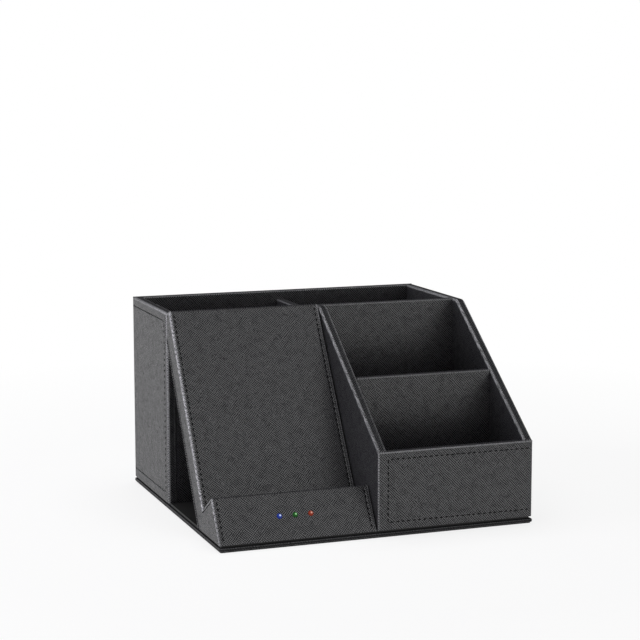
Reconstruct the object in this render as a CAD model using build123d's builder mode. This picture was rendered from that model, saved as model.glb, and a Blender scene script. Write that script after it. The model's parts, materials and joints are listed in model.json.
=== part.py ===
from build123d import *

import os
from math import acos, atan2, cos, hypot, sin

# Desk organizer in black leather: a pen box across the rear, a sloped tray at the front right and a leaning
# phone stand with a wireless charger at the front left.
# X runs to the right, Y to the rear, Z up. The origin is the middle of the underside.

# Overall sizes
stand_width = 85.4
stand_tray_gap = 0.3
tray_width = 88.3
front_depth = 93.5
pen_box_depth = 71.5
walls_height = 109
tray_front_height = 44.7
tray_divider_height = 76
tray_divider_setback = 43
pen_divider_height = 104
slope_start_lead = 5
base_side_margin = 0.2
base_end_margin = 1

# Sheets and boards
felt_thickness = 0.6
felt_inset = 0.8
base_board_thickness = 1.1
base_leather_thickness = 0.6
floor_board_thickness = 1.2
floor_board_inset = 1.2
wall_board_thickness = 3.4
leather_thickness = 0.8
leather_edge_radius = 0.7
lining_thickness = 0.8
lining_gap = 0.2
base_corner_radius = 1.0
base_edge_radius = 0.3

# Phone stand
ledge_peak_height = 25.3
shelf_depth = 18.6
ledge_edge_radius = 1.2
stand_wall_gap = 0.2
stand_board_thickness = 3.4
stand_cheek_thickness = 2.6
stand_back_board_thickness = 2.0

# Charging module, behind the panel
module_plate_thickness = 1.5
module_plate_start = 2
module_plate_side_gap = 1.05
module_plate_end_margin = 1.5
module_plate_corner_radius = 3
module_screw_inset = 3.4
module_boss_radius = 2.6
module_boss_gap = 0.4
module_back_gap = 0.2
screw_shank_radius = 1.0
screw_head_radius = 1.9
screw_head_height = 1.1
screw_bite = 2.4
screw_slot_width = 0.5
screw_slot_depth = 0.5
screw_hole_clearance = 0.1
coil_centre_up = 64
coil_outer_radius = 21.5
coil_inner_radius = 10.3
coil_thickness = 1.2
coil_turns = 8
coil_groove_depth = 0.25
coil_groove_width = 0.3
ferrite_margin = 1.5
ferrite_thickness = 2.0
ferrite_corner_radius = 2
coil_lead_width = 1.0
coil_lead_thickness = 0.9
coil_lead_spacing = 5
coil_lead_bite = 3
main_board_foot_margin = 3
main_board_ferrite_gap = 3
main_board_thickness = 1.0
main_board_corner_radius = 1
controller_side = 7
controller_height = 0.9
controller_above_foot = 17
controller_across = 4
power_chip_width = 5
power_chip_length = 4
power_chip_height = 1.0
power_chip_spacing = 8
power_chip_count = 4
power_chip_below_top = 6
capacitor_width = 1.6
capacitor_length = 3.2
capacitor_height = 1.2
capacitor_spacing = 3.4
capacitor_count = 5
capacitor_above_foot = 9
capacitor_across = 8
inductor_side = 6
inductor_height = 1.8
inductor_corner_radius = 1.2
inductor_edge_distance = 11
inductor_above_foot = 19

# Power inlet, in the stand's back near its foot
inlet_above_foot = 10
inlet_edge_distance = 11
socket_width = 8.9
socket_height = 3.3
socket_wall = 0.3
socket_floor = 1.2
tongue_width = 6.7
tongue_height = 0.7
tongue_setback = 0.6
socket_setback = 0.1
bezel_rim = 1.6
bezel_thickness = 0.5
bezel_gap = 0.15

# Lights, in the ledge front
light_spacing = 8.5
lens_radius = 1.5
lens_proud = 0.15
lens_flange_radius = 2.3
lens_flange_thickness = 0.7
lens_gap = 0.05
light_chip_side = 2.0
light_chip_height = 0.8
light_board_width = 30
light_board_height = 10.5
light_board_thickness = 1.0
cable_width = 5
cable_thickness = 0.9
cable_floor_gap = 0.5
cable_plug_width = 6.5
cable_plug_height = 4
cable_plug_thickness = 1.5
cable_plug_above_foot = 3

# Levels and planes worked out from the sizes
walls_width = stand_width + stand_tray_gap + tray_width
walls_depth = front_depth + pen_box_depth
base_width = walls_width + 2 * base_side_margin
base_depth = walls_depth + 2 * base_end_margin
base_top = felt_thickness + base_board_thickness + base_leather_thickness
floor_level = base_top + floor_board_thickness
wall_thickness = wall_board_thickness + 2 * leather_thickness
left_x = -walls_width / 2
right_x = walls_width / 2
front_y = -walls_depth / 2
rear_y = walls_depth / 2
inner_left_x = left_x + wall_thickness
inner_right_x = right_x - wall_thickness
tray_left_x = right_x - tray_width
tray_inner_x = tray_left_x + wall_thickness
pen_front_y = rear_y - pen_box_depth
pen_inner_y = pen_front_y + wall_thickness
rear_inner_y = rear_y - wall_thickness
tray_inner_y = front_y + wall_thickness
divider_front_y = front_y + tray_divider_setback
divider_rear_y = divider_front_y + wall_thickness
slope_top_y = pen_front_y - slope_start_lead
side_front_y = front_y + leather_thickness
side_rear_y = rear_y - leather_thickness

os.makedirs("parts", exist_ok=True)


def save(piece, name):
    """Labels a finished piece and writes its file."""
    piece.label = name
    export_step(piece, f"parts/{name}.step")


# Slope of the tray's side walls: straight from the top, near the pen box, down to the front
slope_run = slope_top_y - front_y
slope_drop = walls_height - tray_front_height
slope_length = hypot(slope_run, slope_drop)


def slope_height(y, inset):
    """Height of the slope at depth y, with an inset measured square to it."""
    return walls_height - (slope_top_y - y) * slope_drop / slope_run - inset * slope_length / slope_run


def slope_break(inset):
    """Depth at which the inset slope meets the inset flat top."""
    rise = inset * slope_length / slope_run - inset
    return slope_top_y + rise * slope_run / slope_drop


def sloped_slab(left, thickness, rear, inset):
    """A slab with the outline of the sloped side walls, from x = left over its thickness."""
    with BuildPart() as slab:
        with BuildSketch(Plane.YZ.offset(left)):
            with BuildLine():
                Polyline(
                    (rear, floor_level),
                    (rear, walls_height - inset),
                    (slope_break(inset), walls_height - inset),
                    (side_front_y, slope_height(side_front_y, inset)),
                    (side_front_y, floor_level),
                    close=True,
                )
            make_face()
        extrude(amount=thickness)
    return slab.part


def upright_slab(low, high):
    """A rectangular slab between two corners."""
    with BuildPart() as slab:
        with BuildSketch(Plane.XY.offset(low[2])):
            with Locations(((low[0] + high[0]) / 2, (low[1] + high[1]) / 2)):
                Rectangle(high[0] - low[0], high[1] - low[1])
        extrude(amount=high[2] - low[2])
    return slab.part


def save_wall(name, outside, board, pick_edges):
    """A board, and the leather folded over it with the picked edges of the outside form rounded."""
    with BuildPart() as leather:
        add(outside)
        fillet(pick_edges(leather), leather_edge_radius)
        add(board, mode=Mode.SUBTRACT)
    save(board, f"{name}_board")
    save(leather.part, f"{name}_leather")


def top_face(part):
    """The highest face of a part."""
    return part.faces().sort_by(Axis.Z)[-1]


# Base: felt underside, board, and leather over the board's top and edges
with BuildPart() as base_felt:
    with BuildSketch():
        RectangleRounded(base_width - 2 * felt_inset, base_depth - 2 * felt_inset, base_corner_radius)
    extrude(amount=felt_thickness)
save(base_felt.part, "base_felt")

with BuildPart() as base_board:
    with BuildSketch(Plane.XY.offset(felt_thickness)):
        Rectangle(base_width - 2 * base_leather_thickness, base_depth - 2 * base_leather_thickness)
    extrude(amount=base_board_thickness)
save(base_board.part, "base_board")

with BuildPart() as base_leather:
    with BuildSketch(Plane.XY.offset(felt_thickness)):
        RectangleRounded(base_width, base_depth, base_corner_radius)
    extrude(amount=base_board_thickness + base_leather_thickness)
    fillet(top_face(base_leather).edges(), base_edge_radius)
    add(base_board.part, mode=Mode.SUBTRACT)
save(base_leather.part, "base_leather")

# Floor board: the walls stand on it, and it ends a little inside them, which shows as a dark band
with BuildPart() as floor_board:
    with BuildSketch(Plane.XY.offset(base_top)):
        Rectangle(walls_width - 2 * floor_board_inset, walls_depth - 2 * floor_board_inset)
    extrude(amount=floor_board_thickness)
save(floor_board.part, "floor_board")


# Left wall of the pen box, with leather over its top and its front end
def left_wall_edges(wall):
    """The long top edges and the upright edges of the front end."""
    front_end = wall.faces().sort_by(Axis.Y)[0]
    return top_face(wall).edges().filter_by(Axis.Y) + front_end.edges().filter_by(Axis.Z)


save_wall(
    "left_wall",
    upright_slab((left_x, pen_front_y, floor_level), (inner_left_x, side_rear_y, walls_height)),
    upright_slab(
        (left_x + leather_thickness, pen_front_y + leather_thickness, floor_level),
        (inner_left_x - leather_thickness, side_rear_y, walls_height - leather_thickness),
    ),
    left_wall_edges,
)


# Right wall and the tray's left wall: sloped, with ends that the neighbours' leather covers
def sloped_wall_edges(wall):
    """The long edges of the flat top and of the slope."""
    slanted = wall.faces().filter_by(Axis.X, reverse=True)
    slanted = slanted.filter_by(Axis.Y, reverse=True).filter_by(Axis.Z, reverse=True)
    return top_face(wall).edges().filter_by(Axis.Y) + slanted.edges().filter_by(Axis.X, reverse=True)


for name, left, rear in (
    ("right_wall", inner_right_x, side_rear_y),
    ("tray_left_wall", tray_left_x, pen_front_y),
):
    save_wall(
        name,
        sloped_slab(left, wall_thickness, rear, 0),
        sloped_slab(left + leather_thickness, wall_board_thickness, rear, leather_thickness),
        sloped_wall_edges,
    )

# Walls between two others: leather on both faces and over the top, ends butting on the neighbours
for name, low, high in (
    (
        "pen_front_wall",
        (inner_left_x, pen_front_y, floor_level),
        (inner_right_x, pen_inner_y, walls_height),
    ),
    (
        "tray_divider",
        (tray_inner_x, divider_front_y, floor_level),
        (inner_right_x, divider_rear_y, tray_divider_height),
    ),
):
    save_wall(
        name,
        upright_slab(low, high),
        upright_slab(
            (low[0], low[1] + leather_thickness, low[2]),
            (high[0], high[1] - leather_thickness, high[2] - leather_thickness),
        ),
        lambda wall: top_face(wall).edges().filter_by(Axis.X),
    )

save_wall(
    "pen_divider",
    upright_slab((tray_left_x, pen_inner_y, floor_level), (tray_inner_x, rear_inner_y, pen_divider_height)),
    upright_slab(
        (tray_left_x + leather_thickness, pen_inner_y, floor_level),
        (tray_inner_x - leather_thickness, rear_inner_y, pen_divider_height - leather_thickness),
    ),
    lambda wall: top_face(wall).edges().filter_by(Axis.Y),
)


# Rear wall and tray front wall: the outer sheet runs on over the ends of the side walls
def faced_outside(span, sheet_span, inner_y, outer_y, height):
    """The outside form of a wall whose outer sheet is longer than the wall itself."""
    sheet_y = outer_y + (leather_thickness if outer_y < inner_y else -leather_thickness)
    with BuildPart() as outside:
        with BuildSketch(Plane.XY.offset(floor_level)):
            for (low_x, high_x), (one_y, other_y) in (
                (sheet_span, (sheet_y, outer_y)),
                (span, (inner_y, sheet_y)),
            ):
                with Locations(((low_x + high_x) / 2, (one_y + other_y) / 2)):
                    Rectangle(high_x - low_x, abs(other_y - one_y))
        extrude(amount=height - floor_level)
    return outside.part


def faced_wall_edges(wall):
    """Both long top edges and the two upright ends of the outer sheet."""
    long_edges = top_face(wall).edges().filter_by(Axis.X).sort_by(SortBy.LENGTH)[-2:]
    outer_y = long_edges[-1].center().Y
    outer_face = wall.faces().filter_by(Axis.Y).filter_by_position(Axis.Y, outer_y, outer_y)
    return long_edges + outer_face.edges().filter_by(Axis.Z)


for name, span, sheet_span, inner_y, outer_y, height in (
    ("rear_wall", (inner_left_x, inner_right_x), (left_x, right_x), rear_inner_y, rear_y, walls_height),
    (
        "tray_front_wall",
        (tray_inner_x, inner_right_x),
        (tray_left_x, right_x),
        tray_inner_y,
        front_y,
        tray_front_height,
    ),
):
    low_y, high_y = sorted((inner_y, outer_y))
    save_wall(
        name,
        faced_outside(span, sheet_span, inner_y, outer_y, height),
        upright_slab(
            (span[0], low_y + leather_thickness, floor_level),
            (span[1], high_y - leather_thickness, height - leather_thickness),
        ),
        faced_wall_edges,
    )

# Linings on the compartment floors
for name, low_x, high_x, low_y, high_y in (
    ("left_pen_lining", inner_left_x, tray_left_x, pen_inner_y, rear_inner_y),
    ("right_pen_lining", tray_inner_x, inner_right_x, pen_inner_y, rear_inner_y),
    ("card_bay_lining", tray_inner_x, inner_right_x, divider_rear_y, pen_front_y),
    ("key_bay_lining", tray_inner_x, inner_right_x, tray_inner_y, divider_front_y),
):
    lining = upright_slab(
        (low_x + lining_gap, low_y + lining_gap, floor_level),
        (high_x - lining_gap, high_y - lining_gap, floor_level + lining_thickness),
    )
    save(lining, name)

# Phone stand. Its side profile is drawn leaning with the panel: "up" runs up along the panel and "forward"
# runs square to it, towards the phone. Both are zero at the foot of the panel, where the shelf begins.
# It leans until its square-cut top meets the pen box where that wall's rounded top edge begins.
board_front = -leather_thickness
board_rear = board_front - stand_board_thickness
cover_rear = board_rear - leather_thickness
stand_rear_y = pen_front_y - stand_wall_gap
lean_depth = stand_rear_y - front_y
lean_height = walls_height - leather_edge_radius - floor_level
lean_thickness = shelf_depth - cover_rear
stand_tilt = acos(lean_thickness / hypot(lean_depth, lean_height)) - atan2(lean_height, lean_depth)
tilt_sine = sin(stand_tilt)
tilt_cosine = cos(stand_tilt)
ledge_peak_y = front_y + (ledge_peak_height - floor_level) * tilt_sine / tilt_cosine
foot_y = ledge_peak_y + shelf_depth * tilt_cosine
foot_z = ledge_peak_height - shelf_depth * tilt_sine
stand_right_x = left_x + stand_width
stand_mid_x = (left_x + stand_right_x) / 2
coil_rear = board_rear - coil_thickness
ferrite_rear = coil_rear - ferrite_thickness
plate_rear = ferrite_rear - module_plate_thickness
board_face = ferrite_rear + main_board_thickness
back_board_front = plate_rear - screw_head_height - module_back_gap
back_board_rear = back_board_front - stand_back_board_thickness
slab_rear = back_board_rear - leather_thickness
ledge_board_front = shelf_depth - leather_thickness
ledge_board_rear = ledge_board_front - stand_board_thickness


def up_at_height(forward, z):
    """How far up the panel direction a point at this forward distance reaches height z."""
    return (z - foot_z - forward * tilt_sine) / tilt_cosine


def up_at_depth(forward, y):
    """How far up the panel direction a point at this forward distance reaches depth y."""
    return (y - foot_y + forward * tilt_cosine) / tilt_sine


def forward_at_depth(up, y):
    """The forward distance at which a point this far up lies at depth y."""
    return (foot_y + up * tilt_sine - y) / tilt_cosine


def side_plane(x):
    """The plane of the side profile at x: first axis up the panel, second axis forward."""
    return Plane(origin=(x, foot_y, foot_z), x_dir=(0, tilt_sine, tilt_cosine), z_dir=(1, 0, 0))


def panel_plane(forward):
    """A plane along the panel: first axis to the right from the stand's middle, second axis up the panel."""
    origin = (stand_mid_x, foot_y - forward * tilt_cosine, foot_z + forward * tilt_sine)
    return Plane(origin=origin, x_dir=(1, 0, 0), z_dir=(0, -tilt_cosine, tilt_sine))


def profile_slab(points, left, thickness):
    """A slab with the given side profile, from x = left over its thickness."""
    with BuildPart() as slab:
        with BuildSketch(side_plane(left)):
            with BuildLine():
                Polyline(*points, close=True)
            make_face()
        extrude(amount=thickness)
    return slab.part


panel_top = up_at_depth(cover_rear, stand_rear_y)
board_top = panel_top - leather_thickness
ledge_front_foot = up_at_height(shelf_depth, floor_level)
light_up = ledge_front_foot / 2
light_places = [(place * light_spacing, light_up) for place in (-1, 0, 1)]
inner_width = stand_width - 2 * (leather_thickness + stand_cheek_thickness)
inner_stand_x = left_x + leather_thickness + stand_cheek_thickness

# Places on the charging module, across from the stand's middle and up along the panel
ferrite_side = 2 * (coil_outer_radius + ferrite_margin)
module_plate_width = inner_width - 2 * module_plate_side_gap
module_screw_spacing = module_plate_width - 2 * module_screw_inset
module_screw_start = module_plate_start + module_screw_inset
module_plate_end = coil_centre_up + ferrite_side / 2 + module_plate_end_margin
module_screw_end = module_plate_end - module_screw_inset
module_screw_places = [
    (side * module_screw_spacing / 2, up) for side in (-1, 1) for up in (module_screw_start, module_screw_end)
]
main_board_width = module_screw_spacing - 2 * (module_boss_radius + module_boss_gap)
main_board_start = module_plate_start + main_board_foot_margin
main_board_end = coil_centre_up - ferrite_side / 2 - main_board_ferrite_gap
inductor_across = main_board_width / 2 - inductor_edge_distance
inlet_across = inlet_edge_distance - main_board_width / 2
inlet_up = main_board_start + inlet_above_foot
cable_plug_up = main_board_start + cable_plug_above_foot

# Leather over the ledge, the shelf and the panel, with holes for the three lights
cover_points = (
    (ledge_front_foot, shelf_depth),
    (0, shelf_depth),
    (0, 0),
    (panel_top, 0),
    (panel_top, cover_rear),
    (board_top, cover_rear),
    (board_top, board_front),
    (board_front, board_front),
    (board_front, ledge_board_front),
    (up_at_height(ledge_board_front, floor_level), ledge_board_front),
)
with BuildPart() as stand_cover:
    with BuildSketch(side_plane(left_x)) as cover_profile:
        with BuildLine():
            Polyline(*cover_points, close=True)
        make_face()
        fillet(cover_profile.vertices().group_by(Axis.Y)[-1].sort_by(Axis.X)[-1], ledge_edge_radius)
    extrude(amount=stand_width)
    with BuildSketch(panel_plane(ledge_board_front)):
        with Locations(*light_places):
            Circle(lens_radius + lens_gap)
    extrude(amount=leather_thickness, mode=Mode.SUBTRACT)
save(stand_cover.part, "stand_cover")

# Boards under that leather
panel_board_points = (
    (board_rear, board_front),
    (board_top, board_front),
    (board_top, board_rear),
    (board_rear, board_rear),
)
shelf_board_points = (
    (board_rear, board_front),
    (board_front, board_front),
    (board_front, ledge_board_rear),
    (board_rear, ledge_board_rear),
)
ledge_board_points = (
    (up_at_height(ledge_board_rear, floor_level), ledge_board_rear),
    (board_front, ledge_board_rear),
    (board_front, ledge_board_front),
    (up_at_height(ledge_board_front, floor_level), ledge_board_front),
)

with BuildPart() as panel_board:
    add(profile_slab(panel_board_points, inner_stand_x, inner_width))
    with BuildSketch(panel_plane(board_rear)):
        with Locations(*module_screw_places):
            Circle(screw_shank_radius + screw_hole_clearance)
    extrude(amount=screw_bite, mode=Mode.SUBTRACT)
save(panel_board.part, "stand_panel_board")

save(profile_slab(shelf_board_points, inner_stand_x, inner_width), "stand_shelf_board")

with BuildPart() as ledge_board:
    add(profile_slab(ledge_board_points, inner_stand_x, inner_width))
    with BuildSketch(panel_plane(ledge_board_rear)):
        with Locations(*light_places):
            Circle(lens_radius + lens_gap)
    extrude(amount=stand_board_thickness, mode=Mode.SUBTRACT)
save(ledge_board.part, "stand_ledge_board")

# Cheeks that close the stand's two sides, each with a leather sheet outside
cheek_points = (
    (up_at_height(ledge_board_front, floor_level), ledge_board_front),
    (board_front, ledge_board_front),
    (board_front, board_front),
    (board_top, board_front),
    (board_top, forward_at_depth(board_top, stand_rear_y)),
    (up_at_depth(back_board_rear, stand_rear_y), back_board_rear),
    (up_at_height(back_board_rear, floor_level), back_board_rear),
)
for side, leather_x, board_x in (
    ("left", left_x, left_x + leather_thickness),
    ("right", stand_right_x - leather_thickness, inner_stand_x + inner_width),
):
    save(profile_slab(cheek_points, leather_x, leather_thickness), f"stand_{side}_leather")
    save(profile_slab(cheek_points, board_x, stand_cheek_thickness), f"stand_{side}_cheek")


# Back of the stand: a thin board and its leather, both with an opening for the power inlet
def slab_points(front, rear):
    """Side profile of a sheet in the stand's back, cut level at the floor and upright at the pen box."""
    return (
        (up_at_height(front, floor_level), front),
        (up_at_depth(front, stand_rear_y), front),
        (up_at_depth(rear, stand_rear_y), rear),
        (up_at_height(rear, floor_level), rear),
    )


with BuildPart() as inlet_cut:
    with BuildSketch(panel_plane(slab_rear)):
        with Locations((inlet_across, inlet_up)):
            SlotOverall(socket_width + 2 * bezel_gap, socket_height + 2 * bezel_gap)
    extrude(amount=-slab_rear)

with BuildPart() as back_board:
    add(profile_slab(slab_points(back_board_front, back_board_rear), inner_stand_x, inner_width))
    add(inlet_cut.part, mode=Mode.SUBTRACT)
save(back_board.part, "stand_back_board")

with BuildPart() as back_leather:
    add(profile_slab(slab_points(back_board_rear, slab_rear), left_x, stand_width))
    add(inlet_cut.part, mode=Mode.SUBTRACT)
save(back_leather.part, "stand_back_leather")

# Charging module: a plate on four bosses carries the ferrite, the coil and the main board
with BuildPart() as module_plate:
    with BuildSketch(panel_plane(plate_rear)):
        with Locations((0, (module_plate_start + module_plate_end) / 2)):
            RectangleRounded(
                module_plate_width, module_plate_end - module_plate_start, module_plate_corner_radius
            )
    extrude(amount=module_plate_thickness)
    with BuildSketch(panel_plane(ferrite_rear)):
        with Locations(*module_screw_places):
            Circle(module_boss_radius)
    extrude(amount=board_rear - ferrite_rear)
    with BuildSketch(panel_plane(plate_rear)):
        with Locations(*module_screw_places):
            Circle(screw_shank_radius + screw_hole_clearance)
    extrude(amount=board_rear - plate_rear, mode=Mode.SUBTRACT)
    add(inlet_cut.part, mode=Mode.SUBTRACT)
save(module_plate.part, "module_plate")

with BuildPart() as module_screws:
    with BuildSketch(panel_plane(plate_rear - screw_head_height)):
        with Locations(*module_screw_places):
            Circle(screw_head_radius)
    extrude(amount=screw_head_height)
    with BuildSketch(panel_plane(plate_rear)):
        with Locations(*module_screw_places):
            Circle(screw_shank_radius)
    extrude(amount=board_rear + screw_bite - plate_rear)
    with BuildSketch(panel_plane(plate_rear - screw_head_height)):
        with Locations(*module_screw_places):
            Rectangle(2 * screw_head_radius, screw_slot_width)
    extrude(amount=screw_slot_depth, mode=Mode.SUBTRACT)
save(module_screws.part, "module_screws")

with BuildPart() as ferrite_sheet:
    with BuildSketch(panel_plane(ferrite_rear)):
        with Locations((0, coil_centre_up)):
            RectangleRounded(ferrite_side, ferrite_side, ferrite_corner_radius)
    extrude(amount=ferrite_thickness)
save(ferrite_sheet.part, "ferrite_sheet")

coil_groove_pitch = (coil_outer_radius - coil_inner_radius) / coil_turns
with BuildPart() as charging_coil:
    with BuildSketch(panel_plane(coil_rear)):
        with Locations((0, coil_centre_up)):
            Circle(coil_outer_radius)
            Circle(coil_inner_radius, mode=Mode.SUBTRACT)
    extrude(amount=coil_thickness)
    with BuildSketch(panel_plane(board_rear)):
        with Locations((0, coil_centre_up)):
            for turn in range(1, coil_turns):
                groove_radius = coil_inner_radius + turn * coil_groove_pitch
                Circle(groove_radius + coil_groove_width / 2)
                Circle(groove_radius - coil_groove_width / 2, mode=Mode.SUBTRACT)
    extrude(amount=-coil_groove_depth, mode=Mode.SUBTRACT)
save(charging_coil.part, "charging_coil")

# Coil leads: over the ferrite, then down a step onto the main board
lead_front = board_rear - coil_groove_depth
lead_rear = lead_front - coil_lead_thickness
lead_inner_x = (coil_lead_spacing - coil_lead_width) / 2
lead_top = coil_centre_up - (coil_outer_radius**2 - lead_inner_x**2) ** 0.5
lead_step_low = (main_board_end + coil_centre_up - ferrite_side / 2 - coil_lead_thickness) / 2
lead_step_high = lead_step_low + coil_lead_thickness
lead_points = (
    (lead_top, lead_front),
    (lead_step_low, lead_front),
    (lead_step_low, board_face + coil_lead_thickness),
    (main_board_end - coil_lead_bite, board_face + coil_lead_thickness),
    (main_board_end - coil_lead_bite, board_face),
    (lead_step_high, board_face),
    (lead_step_high, lead_rear),
    (lead_top, lead_rear),
)
with BuildPart() as coil_leads:
    for side in (-1, 1):
        middle_x = stand_mid_x + side * coil_lead_spacing / 2
        add(profile_slab(lead_points, middle_x - coil_lead_width / 2, coil_lead_width))
save(coil_leads.part, "coil_leads")

# Main board, flat on the plate below the ferrite, with its components on the side towards the panel
with BuildPart() as main_board:
    with BuildSketch(panel_plane(ferrite_rear)):
        with Locations((0, (main_board_start + main_board_end) / 2)):
            RectangleRounded(main_board_width, main_board_end - main_board_start, main_board_corner_radius)
    extrude(amount=main_board_thickness)
save(main_board.part, "main_board")

with BuildPart() as controller_chip:
    with BuildSketch(panel_plane(board_face)):
        with Locations((controller_across, main_board_start + controller_above_foot)):
            Rectangle(controller_side, controller_side)
    extrude(amount=controller_height)
save(controller_chip.part, "controller_chip")

with BuildPart() as power_chips:
    with BuildSketch(panel_plane(board_face)):
        with Locations((0, main_board_end - power_chip_below_top)):
            with GridLocations(power_chip_spacing, power_chip_spacing, power_chip_count, 1):
                Rectangle(power_chip_width, power_chip_length)
    extrude(amount=power_chip_height)
save(power_chips.part, "power_chips")

with BuildPart() as capacitors:
    with BuildSketch(panel_plane(board_face)):
        with Locations((capacitor_across, main_board_start + capacitor_above_foot)):
            with GridLocations(capacitor_spacing, capacitor_spacing, capacitor_count, 1):
                Rectangle(capacitor_width, capacitor_length)
    extrude(amount=capacitor_height)
save(capacitors.part, "capacitors")

with BuildPart() as inductor:
    with BuildSketch(panel_plane(board_face)):
        with Locations((inductor_across, main_board_start + inductor_above_foot)):
            RectangleRounded(inductor_side, inductor_side, inductor_corner_radius)
    extrude(amount=inductor_height)
save(inductor.part, "inductor")

# Power inlet: a socket on the back of the main board that reaches through the stand's back
socket_mouth = slab_rear + socket_setback
socket_length = ferrite_rear - socket_mouth
with BuildPart() as inlet_socket:
    with BuildSketch(panel_plane(socket_mouth)):
        with Locations((inlet_across, inlet_up)):
            SlotOverall(socket_width, socket_height)
    extrude(amount=socket_length)
    with BuildSketch(panel_plane(socket_mouth)):
        with Locations((inlet_across, inlet_up)):
            SlotOverall(socket_width - 2 * socket_wall, socket_height - 2 * socket_wall)
    extrude(amount=socket_length - socket_floor, mode=Mode.SUBTRACT)
save(inlet_socket.part, "inlet_socket")

with BuildPart() as inlet_tongue:
    with BuildSketch(panel_plane(socket_mouth + tongue_setback)):
        with Locations((inlet_across, inlet_up)):
            Rectangle(tongue_width, tongue_height)
    extrude(amount=socket_length - socket_floor - tongue_setback)
save(inlet_tongue.part, "inlet_tongue")

with BuildPart() as inlet_bezel:
    with BuildSketch(panel_plane(slab_rear - bezel_thickness)):
        with Locations((inlet_across, inlet_up)):
            SlotOverall(socket_width + 2 * bezel_rim, socket_height + 2 * bezel_rim)
            SlotOverall(socket_width + 2 * bezel_gap, socket_height + 2 * bezel_gap, mode=Mode.SUBTRACT)
    extrude(amount=bezel_thickness)
save(inlet_bezel.part, "inlet_bezel")

# Lights: a small board behind the ledge carries three chips, each behind a flanged lens
light_axis = Axis((0, 0, 0), (0, -tilt_cosine, tilt_sine))
flange_rear = ledge_board_rear - lens_flange_thickness
chip_rear = flange_rear - light_chip_height
light_board_rear = chip_rear - light_board_thickness
for name, place in zip(("blue_lens", "green_lens", "red_lens"), light_places):
    with BuildPart() as lens:
        with BuildSketch(panel_plane(flange_rear)):
            with Locations(place):
                Circle(lens_flange_radius)
        extrude(amount=lens_flange_thickness)
        with BuildSketch(panel_plane(ledge_board_rear)):
            with Locations(place):
                Circle(lens_radius)
        extrude(amount=shelf_depth + lens_proud - ledge_board_rear)
        fillet(lens.faces().filter_by(GeomType.PLANE).sort_by(light_axis)[-1].edges(), lens_proud)
    save(lens.part, name)

with BuildPart() as light_chips:
    with BuildSketch(panel_plane(chip_rear)):
        with Locations(*light_places):
            Rectangle(light_chip_side, light_chip_side)
    extrude(amount=light_chip_height)
save(light_chips.part, "light_chips")

with BuildPart() as light_board:
    with BuildSketch(panel_plane(light_board_rear)):
        with Locations((0, light_up)):
            Rectangle(light_board_width, light_board_height)
    extrude(amount=light_board_thickness)
save(light_board.part, "light_board")

# Light cable: back from the light board just above the floor, then up to a plug on the main board
cable_front = board_rear - cable_thickness - coil_groove_depth
cable_rear = cable_front - cable_thickness
cable_foot = up_at_height(cable_rear, floor_level) + cable_floor_gap
cable_level = cable_foot + cable_thickness
cable_points = (
    (cable_level, light_board_rear),
    (cable_foot, light_board_rear),
    (cable_foot, cable_rear),
    (cable_plug_up, cable_rear),
    (cable_plug_up, cable_front),
    (cable_level, cable_front),
)
save(profile_slab(cable_points, stand_mid_x - cable_width / 2, cable_width), "light_cable")

with BuildPart() as cable_plug:
    with BuildSketch(panel_plane(board_face)):
        with Locations((0, cable_plug_up + cable_plug_height / 2)):
            Rectangle(cable_plug_width, cable_plug_height)
    extrude(amount=cable_plug_thickness)
save(cable_plug.part, "cable_plug")
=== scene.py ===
# %% [markdown]
# # A desk organizer in black leather, with a charging stand
# The real object is a set of grey boards, each wrapped in black leather with an embossed cross-hatch, and
# glued to a base: a pen box across the rear, a sloped tray at the right and a leaning charging stand at the
# left. CAD holds every board, sheet and electric part at its place. Here the leather gets soft folds,
# pressed seams, thread and grain, and every other part gets a finish. Lengths are metres: X to the right, Y
# to the rear, Z up.

# %% Load the CAD frame
import json
import math

import bmesh
import bpy
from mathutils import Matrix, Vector


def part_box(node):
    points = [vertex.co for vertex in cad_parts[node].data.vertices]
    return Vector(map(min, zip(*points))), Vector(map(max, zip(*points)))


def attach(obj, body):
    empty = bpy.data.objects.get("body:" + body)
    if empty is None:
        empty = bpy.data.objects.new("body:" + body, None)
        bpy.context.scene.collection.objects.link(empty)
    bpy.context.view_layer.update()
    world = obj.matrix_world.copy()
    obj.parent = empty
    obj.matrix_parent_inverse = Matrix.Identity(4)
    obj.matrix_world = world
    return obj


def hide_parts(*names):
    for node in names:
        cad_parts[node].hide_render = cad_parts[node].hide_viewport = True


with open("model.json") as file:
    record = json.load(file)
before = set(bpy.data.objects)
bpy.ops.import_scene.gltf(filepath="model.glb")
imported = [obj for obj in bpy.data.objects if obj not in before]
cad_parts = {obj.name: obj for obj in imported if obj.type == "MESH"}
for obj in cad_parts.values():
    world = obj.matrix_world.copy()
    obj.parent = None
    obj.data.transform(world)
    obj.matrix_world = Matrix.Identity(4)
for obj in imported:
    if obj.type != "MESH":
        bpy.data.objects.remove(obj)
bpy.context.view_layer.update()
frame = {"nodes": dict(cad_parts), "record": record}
millimetre = 0.001

# %% [markdown]
# ## Where things are
# Every wrapped board sits on the CAD sheet that it replaces, so its place is read from the frame and never
# typed. The stand leans, so its places are told along two directions of its own: `panel_up` climbs the
# panel, and `panel_forward` points straight out of it. The frame's mounts on the panel and the shelf give
# both.

# %% Directions and the foot of the panel
east, north, sky = Vector((1, 0, 0)), Vector((0, 1, 0)), Vector((0, 0, 1))
mounts = {mount["name"]: mount for mount in frame["record"]["mounts"]}
panel_forward = Vector(mounts["phone_panel"]["axis"]).normalized()
panel_up = Vector(mounts["phone_shelf"]["axis"]).normalized()
panel_point, shelf_point = Vector(mounts["phone_panel"]["pos_m"]), Vector(mounts["phone_shelf"]["pos_m"])
stand_foot = shelf_point + panel_forward * panel_forward.dot(panel_point - shelf_point)
stand_foot.x = 0
foot_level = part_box("left_wall_leather")[0].z


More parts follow.
